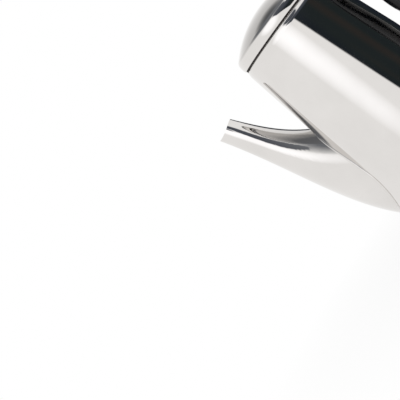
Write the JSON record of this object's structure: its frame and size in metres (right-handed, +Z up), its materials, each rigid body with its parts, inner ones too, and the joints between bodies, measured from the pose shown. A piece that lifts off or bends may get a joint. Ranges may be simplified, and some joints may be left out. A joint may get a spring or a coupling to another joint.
{
  "type": "coffee pot",
  "caption": "Tapered polished steel coffee pot with a hinged domed lid, a swept spout over a strainer, and a black side handle.",
  "frame": {"origin": "centre of the flat underside of the base plate, on the pot's axis", "axes": "+Z up along the pot's axis, +X towards the spout, -X towards the handle and the lid's hinge"},
  "size_m": [0.1615, 0.0958, 0.1756],
  "materials": {
    "polished_steel": "mirror polished stainless steel",
    "satin_steel": "satin stainless steel",
    "black_phenolic": "moulded, semi-gloss",
    "grey_fibre": "pressed fibre, matt"
  },
  "bodies": {
    "pot": {"body_shell": "polished_steel", "base_plate": "satin_steel", "spout": "polished_steel", "hinge_pin": "polished_steel", "upper_bracket": "polished_steel", "lower_bracket": "polished_steel", "upper_washer": "grey_fibre", "lower_washer": "grey_fibre", "handle_grip": "black_phenolic", "upper_screw": "satin_steel", "lower_screw": "satin_steel"},
    "lid": {"lid_shell": "polished_steel", "lid_skirt": "satin_steel", "lid_leaf": "polished_steel", "thumb_lift": "polished_steel", "lid_rivet_left": "polished_steel", "lid_rivet_right": "polished_steel"}
  },
  "joints": [
    {"name": "lid_hinge", "type": "hinge", "parent": "pot", "child": "lid", "pos_m": [-0.0425, 0, 0.153], "axis": [0, -1, 0], "range_deg": [0, 100]}
  ]
}
